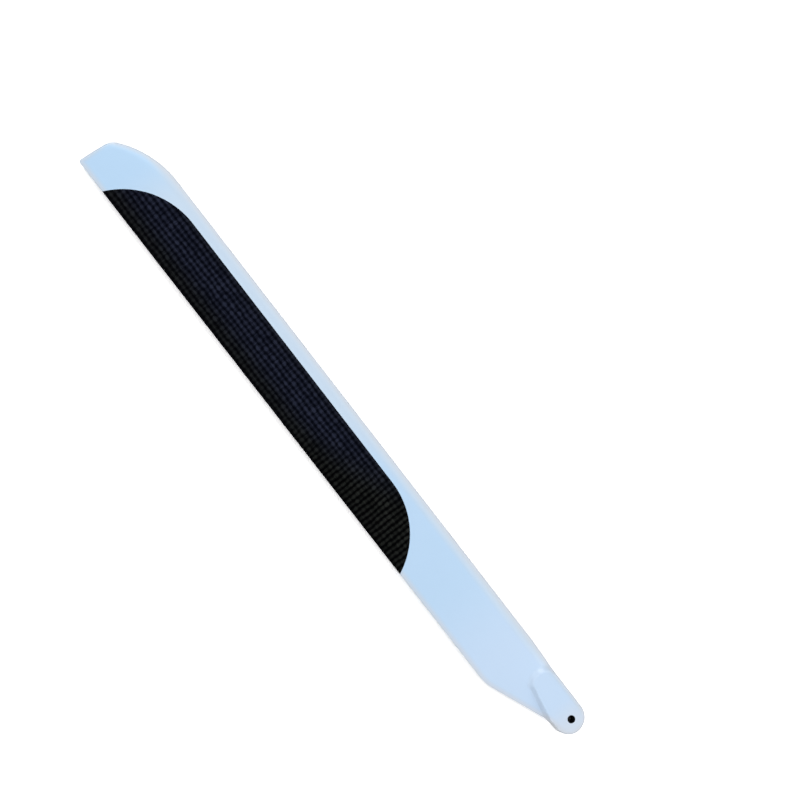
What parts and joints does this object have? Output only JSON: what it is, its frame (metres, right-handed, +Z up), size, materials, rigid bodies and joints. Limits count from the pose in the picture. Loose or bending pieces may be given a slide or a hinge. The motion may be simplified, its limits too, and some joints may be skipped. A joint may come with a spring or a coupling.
{
  "type": "model helicopter rotor blade",
  "caption": "Slim one-piece rotor blade with a thick drilled root pad, symmetric airfoil and swept tip, clamped by one bolt in a model helicopter's blade grip.",
  "frame": {"origin": "axis of the bolt hole, at the blade's mid-thickness", "axes": "+X outboard along the span to the tip, +Y aft from the leading to the trailing edge, +Z up along the bolt axis"},
  "size_m": [0.3876, 0.0335, 0.008],
  "materials": {
    "painted_skin": "pale blue-white gloss paint under clear coat, with a bare carbon-weave window along the trailing edge"
  },
  "bodies": {
    "root": {"rotor_blade": "painted_skin"}
  },
  "joints": []
}
